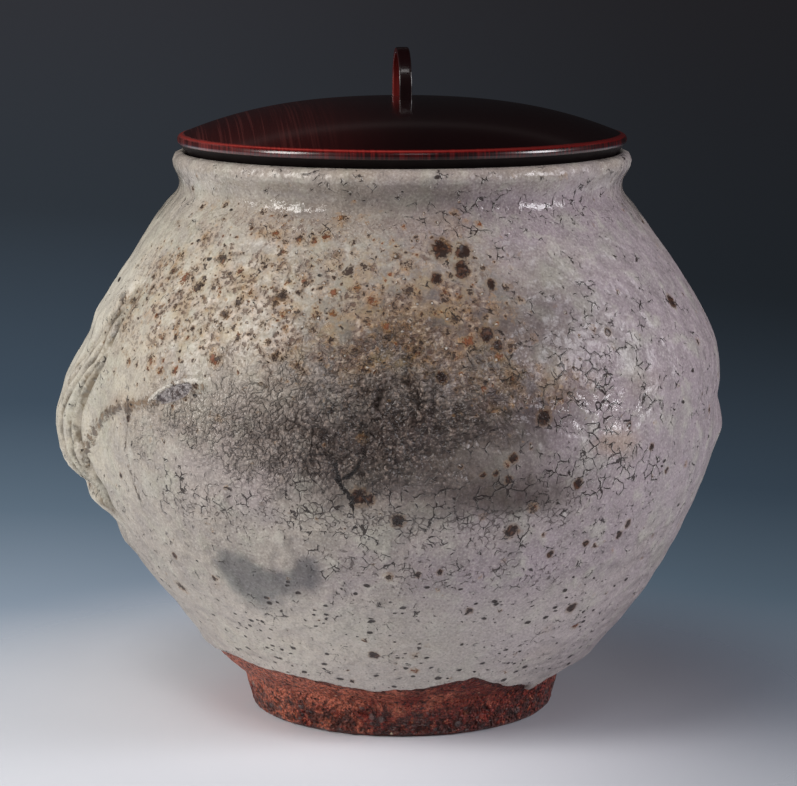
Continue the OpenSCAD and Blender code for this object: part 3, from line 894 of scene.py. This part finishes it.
# %% Glaze recipe: rust
rusty = skin.step(rust, 0.1, 0.85)
hue = skin.noise(5.0, 2)
warm = skin.step(skin.noise(9, 4, 0.65, crooked), 0.46, 0.66)
skin.paint(tint(186, 160, 118), warm, rusty, 0.4)
crumbly = skin.times(rusty, patch)
skin.paint(tint(160, 130, 112), crumbly, 0.35)
grime = skin.times(skin.step(crumbs, 0.48, 0.36), crumbly)
skin.paint(tint(94, 68, 56), grime, 0.8)
skin.paint(tint(212, 194, 176), skin.step(crumbs, 0.55, 0.66), crumbly, 0.55)
ochre = skin.mix(skin.step(hue, 0.38, 0.56), tint(184, 138, 82), tint(146, 116, 84))
brown = skin.mix(skin.step(hue, 0.35, 0.48), tint(126, 68, 36), tint(55, 37, 31))
fringe = skin.noise(0.8, 2, 0.6)
cores = []
for size, radius, many, few in ((6.5, 1.7, 0.6, 0.02), (4.0, 1.05, 0.75, 0.03), (2.2, 0.5, 0.7, 0.02)):
    dot = skin.dots(size, radius, skin.total((rusty, many), few), crooked)
    dot = skin.total(dot, (fringe, 2.6), -1.3)
    cores.append(skin.step(dot, 0.05, 0.5))
    skin.paint(ochre, skin.step(dot, -0.9, 0.3), 0.38)
    skin.paint(brown, cores[-1], 0.92)
speck = skin.most(*cores)
salt = skin.step(skin.dots(2.2, 0.45, skin.total((rusty, 0.3), 0.03), ragged_place), 0.0, 0.5)
skin.paint(tint(220, 212, 203), salt, 0.8)

# %% Glaze recipe: iron, deposit, folds and blister, with painted shade and highlights
ragged = skin.total(skin.map("iron_share"), (skin.noise(1.5, 3, 0.6), 1.5))
iron = skin.step(ragged, 0.72, 0.95)
ironed = skin.mix(skin.step(grit, 0.50, 0.68), tint(42, 23, 18), tint(92, 60, 44))
skin.paint(tint(126, 96, 66), skin.step(ragged, 0.2, 0.8), 0.5)
skin.paint(ironed, iron, 0.96)
caked = skin.where(1.0, 1.35, skin.map("deposit_share"), (crumbs, 1.3))
earthy = skin.mix(skin.step(hue, 0.44, 0.58), tint(122, 96, 70), tint(76, 58, 46))
skin.paint(earthy, caked, 0.8)
pleat = skin.map("groove")
# Painted highlight: the crests of the folds, away from the grooves, are painted paler.
crest = skin.times(skin.step(pleat, 0.42, 0.12), skin.map("fold_share"))
skin.paint(tint(226, 222, 210), crest, 0.4)
# The grooves between the folds are painted olive-brown, partly a deposit in them and partly painted shade in
# the creases.
folded = skin.where(0.62, 1.05, pleat, (skin.noise(2.2, 3, 0.6), 0.7))
olive = skin.mix(skin.step(hue, 0.44, 0.58), tint(108, 92, 70), tint(62, 52, 41))
groove_deposit_and_shade = skin.total((skin.step(skin.noise(8, 3), 0.42, 0.60), 0.6), 0.25)
skin.paint(olive, folded, groove_deposit_and_shade)
# The burst blister is painted grey inside, partly its own colour and partly painted shade in the hollow; its
# raised upper rim is painted pale, a painted highlight.
lens = skin.where(0.40, 0.70, skin.map("blister"), (skin.noise(1.6, 3), 0.8))
blister_grey_and_shade = skin.mix(skin.step(grit, 0.42, 0.54), tint(84, 76, 80), tint(160, 154, 156))
skin.paint(blister_grey_and_shade, lens, 0.8)
blister_rim_highlight = skin.where(1.1, 1.5, skin.map("blister_rim"), (crumbs, 1.4))
skin.paint(tint(222, 216, 207), blister_rim_highlight, 0.8)

# %% Glaze recipe: cracks and pits
wander = skin.total((skin.noise(1.5, 3, 0.6), 4.0), (skin.noise(5, 2), 3.0), -3.5)
deep = skin.step(skin.axes(skin.place)["Z"], 112, 96)
faint = skin.times(skin.step(skin.noise(3, 2), 0.46, 0.58), 0.45)
gaps = []
for name, width, share in (("rift", 0.95, deep), ("rift_branch", 0.62, deep), ("trail", 0.32, faint)):
    off = skin.math("ABSOLUTE", skin.math("ADD", skin.map(name), wander))
    gape = skin.where(width - 0.6, 0.65 * width - 0.6, off, (skin.noise(2.0, 1), -1.2))
    gaps.append(skin.times(gape, share))
gap = skin.most(*gaps)
flat = skin.vector("DIVIDE", skin.bent(2.5, 1.2), (1.0, 1.0, 0.62))
clustered = skin.times(pits_and_floor_light, skin.step(skin.noise(10, 2), 0.42, 0.56))
pit = skin.step(skin.dots(3.6, 0.95, skin.total((clustered, 0.75), 0.03), flat), 0.0, 0.4)
prick = skin.step(skin.dots(2.2, 0.42, skin.total((clustered, 0.45), 0.015), flat), 0.0, 0.4)
# Cracks, pits and the rift are painted dark: partly their own dark lines and partly painted shade inside
# them, which the bump can't cast.
skin.paint(tint(80, 68, 64), hair, 0.65)
skin.paint(tint(48, 37, 35), tear, 0.9)
skin.paint(tint(42, 30, 27), skin.most(pit, prick), 0.93)
skin.paint(tint(28, 21, 20), gap, 0.96)

# %% Glaze recipe: gloss and relief
shine = skin.where(0.5, 1.3, skin.map("gloss"), (skin.noise(10, 3), 0.6))
dull = skin.total((crust, -0.08), (mottle, 0.14), (speck, 0.2), (grime, 0.2), (shine, -0.3), 0.31)
roughness = skin.most(dull, 0.09)
rugged = skin.total((sand, -0.9), (grit, 1.4), (lumps, 3.6), (ridge, 1.3))
rugged = skin.times(rugged, skin.total(crust, 0.03))
calmer = skin.total((shine, -0.5), 1.0)
pebbled = skin.times(skin.total((skin.noise(2.6, 1), 0.45), (skin.noise(6.5, 1), 1.8)), calmer)
marks = skin.total((speck, 0.35), (grime, -0.5), (salt, 0.4), (iron, 0.5), (tear, -0.9), (rim, 0.35),
                   (hair, -0.4), (pit, -1.0), (gap, -1.4), (worm, -0.8), (caked, 0.4), (lens, -0.4),
                   (powder, 0.08))
skin.surface(roughness, skin.total(rugged, pebbled, marks))

# %% [markdown]
# ## Lining, clay and lacquer
# The lining is the same glaze in calm. The clay is iron-rich and full of small stones; it is painted lighter
# on the left and darker to the right, as the lamp on the left lights it, and painted shade lies in its
# hollows. Lacquer is
# dark and clear: the wood's grain shows through it, and it turns red where it was rubbed thin; towards the
# left it is painted lighter, as the lamp lights it. One function makes the lacquer of the board, its
# underside and the strip, which differ in their colours; the underside is painted darker, a painted shade.

# %% Lining recipe
pool = Recipe(bpy.data.materials.new("lining_glaze"))
craze = pool.step(pool.seams(5.0, pool.bent(5, 2)), 0.03, 0.008)
pool.colour = pool.mix(pool.step(pool.noise(18, 4), 0.4, 0.65), tint(184, 178, 166), tint(164, 162, 152))
pool.paint(tint(110, 98, 88), craze, 0.5)
pool.paint(tint(92, 74, 60), pool.step(pool.dots(4, 0.7, 0.3), 0.0, 0.5), 0.8)
pool.surface(0.25, pool.total((craze, -0.15), (pool.noise(4, 4), 0.2)))

# %% Clay recipe
earth = Recipe(bpy.data.materials.new("bare_stoneware"))
stony = earth.map("stony")
across = earth.axes(earth.place)["X"]
# Painted light: besides the fired colour, the clay is painted lighter orange on the left and darker to the
# right, as the lamp on the left lights it.
burnt_and_right_shade = earth.where(0.34, 0.62, earth.noise(12, 4, 0.6), (across, 0.0045), (stony, 0.12))
earth.colour = earth.mix(burnt_and_right_shade, tint(222, 124, 96), tint(142, 50, 38))
speckle = earth.noise(1.2, 3, 0.6)
earth.paint(tint(50, 22, 19), earth.step(speckle, 0.47, 0.36), 0.9)
earth.paint(tint(214, 132, 96), earth.step(speckle, 0.56, 0.66), 0.7)
blotch = earth.where(0.56, 0.68, earth.noise(3.8, 4, 0.65), (stony, 0.12))
earth.paint(tint(58, 35, 32), blotch, 0.75)
# The clay just below the glaze's edge is darker, partly scorched and partly painted shade under the edge.
scorch_and_edge_shade = earth.where(5.0, 2.4, earth.map("below_edge"), (earth.noise(4, 3), 4.0))
earth.paint(tint(50, 27, 25), scorch_and_edge_shade, 0.75)
gravel = earth.pebbles(1.3, earth.place)
# Painted shade: the gaps between the grains, low in the relief, are painted darker.
between_grains = earth.where(0.98, 1.25, gravel, (speckle, 0.8))
earth.paint(tint(46, 24, 21), between_grains, 0.5)
stone = earth.step(earth.dots(3.4, 1.3, earth.times(stony, 0.35), earth.bent(2, 0.9)), 0.0, 0.5)
earth.paint(tint(120, 108, 106), stone, 0.75)
chip = earth.step(earth.dots(3.6, 0.6, 0.09, earth.bent(2.4, 1.2)), 0.0, 0.4)
earth.paint(tint(214, 192, 164), chip)
# Painted shade: the hollows of the relief are painted darker.
hollows = earth.step(earth.noise(2.6, 2), 0.45, 0.32)
earth.paint(tint(42, 20, 18), hollows, 0.4)
stony_relief = earth.total((gravel, -2.4), (earth.noise(4.5, 1), 3.6), stone, (blotch, -0.7),
                           (chip, 0.3), (hollows, -1.6))
earth.surface(0.45, stony_relief)

# %% Lacquer recipe


def lacquer(name, dark, lit, vein_tint, red):
    """Dark, glossy lacquer over grain that runs with the handle. It is thin and red where the map says so,
    with a lighter line where it was rubbed most; on the strip that line, along the corners of its left face,
    is partly a painted highlight. Towards the left it is painted lighter, as the lamp on the left lights it."""
    coat = Recipe(bpy.data.materials.new(name))
    vein = coat.noise(1.0, 1, 0.5, coat.grain(-HANDLE_TURN, 0.55, 90, 30))
    fibre = coat.noise(1.0, 2, 0.5, coat.grain(-HANDLE_TURN, 0.6, 50, 12))
    sideways = coat.axes(coat.place)["X"]
    # Painted light: the lacquer is lighter towards the left, where the lamp on the left lights it; its grain
    # lines and the pinker, brighter reds of the rubbed rim show there too.
    left = coat.step(sideways, 10, -60)
    coat.colour = coat.mix(coat.times(left, coat.total((fibre, 0.6), 0.3)), dark, lit)
    line = coat.times(coat.step(vein, 0.54, 0.66), coat.step(sideways, -8, -66), 0.4)
    coat.paint(vein_tint, line)
    worn = coat.total(coat.map("rubbed"), (fibre, 0.5), -0.25)
    tip = coat.step(sideways, -45, -74)
    coat.paint(coat.mix(tip, red, tint(140, 62, 60)), coat.step(worn, 0.28, 0.55))
    bright = coat.mix(coat.step(sideways, -30, 60), tint(176, 62, 54), tint(104, 26, 24))
    coat.paint(bright, coat.step(worn, 0.78, 1.0))
    coat.surface(0.3, coat.total((line, 0.015), (coat.noise(3, 3), 0.02)))
    coat.set(Coat_Weight=0.8, Coat_Roughness=0.14)
    return coat


lid_lacquer = lacquer("lid_lacquer", tint(20, 6, 7), tint(70, 22, 21), tint(116, 58, 54), tint(104, 18, 18))
strip_lacquer = lacquer("strip_lacquer", *[tint(22, 6, 7)] * 3, tint(88, 19, 17))
# Painted shade: the seat and the underside are painted near-black and dull, with no coat, as they lie in
# shade under the rim.
lid_underside_shade = lacquer("lid_underside_shade", *[tint(13, 4, 5)] * 3, tint(18, 5, 5))
lid_underside_shade.set(Coat_Weight=0.0, Roughness=0.6, Specular_IOR_Level=0.2)

# %% [markdown]
# ## Putting it together
# Each piece takes its finish, rides on its CAD body and stands for the CAD nodes that it dresses. The lid's
# board takes a second, darker and plainer finish for its underside, a painted shade, which was set face by
# face above.

# %% Dress the bodies
for piece, body, slot, recipe, nodes in (
        (glaze, "jar", "ash_glaze", skin, ("outer_glaze", "flank_folds")),
        (lining, "jar", "lining_glaze", pool, ("inner_glaze",)),
        (clay, "jar", "stoneware_clay", earth, ("clay_body",)),
        (board, "lid", "lacquered_wood", lid_lacquer, ("lid_board",)),
        (handle, "lid", "lacquered_strip", strip_lacquer, ("lid_handle",))):
    piece.data.materials.append(recipe.owner)
    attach(piece, body)
    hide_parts(*nodes)
    print(piece.name, "rides on", body, "and stands for", *nodes)
board.data.materials.append(lid_underside_shade.owner)

# %% [markdown]
# ## The studio
# The jar stands on a pale floor that melts into a graded backdrop: pale below, slate in the middle, charcoal
# above. A bent sheet behind the jar could carry it, but would throw its own light on the glaze. Here it is
# the world's colour for rays that see it; all other rays get plain soft light. The floor is painted darker
# to the right and behind the jar, a painted shadow.

# %% Floor
FLOOR_RINGS, FLOOR_Z = [560, 420, 300, 200, 120, 60, 1], -0.05
floor_points = round_axis(np.array(FLOOR_RINGS)[:, None], round_turn(96), np.full((1, 1), FLOOR_Z))
floor = grid_piece("floor", floor_points, end=np.array([0, 0, FLOOR_Z]))
paper = Recipe(bpy.data.materials.new("floor_paper"))
spread = paper.axes(paper.place)
# Painted shadow: the floor is darker to the right and towards the back, where the jar's shadow falls from
# the lamp on the left.
floor_shadow = paper.where(-70, 170, spread["X"], (spread["Y"], 0.45))
paper.colour = paper.mix(floor_shadow, tint(238, 240, 247), tint(122, 122, 133))
away = paper.node("ShaderNodeVectorMath", {0: paper.place}, operation="LENGTH").outputs["Value"]
faded = paper.step(away, 215, 80)
paper.set(Base_Color=paper.colour, Roughness=0.85, Specular_IOR_Level=0.1, Alpha=faded)
floor.data.materials.append(paper.owner)
floor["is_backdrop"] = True

# %% Backdrop and soft light
BACKDROP = [(-0.29, (222, 223, 228)), (-0.255, (186, 191, 200)), (-0.23, (134, 147, 162)),
            (-0.198, (92, 108, 123)), (-0.165, (64, 78, 92)), (-0.10, (47, 53, 60)), (0.0, (50, 49, 53)),
            (0.50, (40, 38, 39)), (0.545, (176, 164, 162)), (0.58, (8, 7, 8))]
LOWEST, HIGHEST = -0.32, 0.68


def graded(recipe, level):
    """The backdrop's colour at a level, which is the upward part of a ray's direction."""
    sockets = {"Value": level, "From Min": LOWEST, "From Max": HIGHEST}
    share = recipe.node("ShaderNodeMapRange", sockets).outputs[0]
    ramp = recipe.node("ShaderNodeValToRGB", {0: share})
    stops = ramp.color_ramp.elements
    while len(stops) < len(BACKDROP):
        stops.new(0.5)
    for stop, (height, shade) in zip(stops, BACKDROP):
        stop.position = (height - LOWEST) / (HIGHEST - LOWEST)
        stop.color = tint(*shade)
    return ramp.outputs["Color"]


bpy.context.scene.world = bpy.data.worlds.new("studio")
studio = Recipe(bpy.context.scene.world)
ray = studio.axes(studio.coordinates["Generated"])
right = studio.step(ray["X"], -0.15, 0.15)
studio.colour = graded(studio, studio.total(ray["Z"], (right, 0.03)))
dim = studio.total((studio.step(ray["Z"], -0.2, -0.12), 0.22), 0.32)
studio.paint(tint(0, 0, 0), right, dim)
path = studio.node("ShaderNodeLightPath").outputs
looked_at = studio.most(path["Is Camera Ray"], path["Is Glossy Ray"], path["Is Transmission Ray"])
front_dark = studio.step(studio.math("ABSOLUTE", ray["X"]), 0.62, 0.40)
studio.paint(tint(12, 11, 12), path["Is Glossy Ray"], front_dark, 0.75)
far_right = studio.where(-0.6, 0.7, (ray["X"], 0.8), (ray["Y"], 0.6))
bounce = studio.mix(far_right, (0.76, 0.75, 0.74, 1), (0.33, 0.33, 0.35, 1))
soft = studio.mix(studio.step(ray["Z"], -0.35, 0.2), bounce, (0.12, 0.12, 0.128, 1))
studio.feed(studio.tree.nodes["Background"].inputs["Color"], studio.mix(looked_at, soft, studio.colour))
print("the studio has", len(studio.tree.nodes), "nodes")

# %% Lamps
LAMP_AWAY, JAR_MIDDLE = 1.3, 0.11


def softbox(name, azimuth, elevation, width, height, watts, shade, mirrored=True):
    """A rectangular studio light that faces the jar's middle from a set distance; azimuth 0 is the front. A
    light that isn't mirrored only models the relief and leaves no bright patch on the gloss."""
    lamp = bpy.data.lights.new(name, "AREA")
    lamp.shape = "RECTANGLE"
    lamp.size, lamp.size_y = width, height
    lamp.energy, lamp.color = watts, shade
    holder = bpy.data.objects.new(name, lamp)
    out, up = polar(LAMP_AWAY, np.radians(elevation))
    holder.location = round_axis(out, np.radians(azimuth), JAR_MIDDLE + up)
    holder.rotation_euler = (np.radians(90 - elevation), 0, np.radians(azimuth))
    holder.visible_camera = False
    holder.visible_glossy = mirrored
    bpy.context.scene.collection.objects.link(holder)
    print(name, "gives", watts, "W")


softbox("key_left", -63, 25, 0.40, 0.75, 10.5, (1.0, 0.98, 0.95))
softbox("fill_right", 74, 20, 0.34, 0.60, 8.4, (0.98, 0.96, 1.0))
softbox("top_front", 8, 52, 0.30, 0.16, 0.5, (1.0, 0.97, 0.97))
softbox("upper_left", -32, 54, 0.40, 0.30, 3.2, (1.0, 0.98, 0.96), mirrored=False)

# %% Camera
CAMERA_PLACE, CAMERA_DIP = (-0.00116, -1.0, 0.2711), 9.37
SENSOR_MM, FOCAL_PX, PICTURE_PX = 36, 2990, 797
camera = bpy.data.objects.new("camera", bpy.data.cameras.new("camera"))
camera.location = CAMERA_PLACE
camera.rotation_euler = (np.radians(90 - CAMERA_DIP), 0, 0)
camera.data.sensor_width = SENSOR_MM
camera.data.lens = SENSOR_MM * FOCAL_PX / PICTURE_PX
bpy.context.scene.collection.objects.link(camera)
bpy.context.scene.camera = camera
bpy.context.scene.view_settings.view_transform = "Standard"
print("camera lens:", round(camera.data.lens, 1), "mm")

# %% Finish
size = {"cad": [list(corner) for corner in cad_box], "dressed": [list(corner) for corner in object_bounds()]}
print("CAD box", size["cad"], "dressed box", size["dressed"])
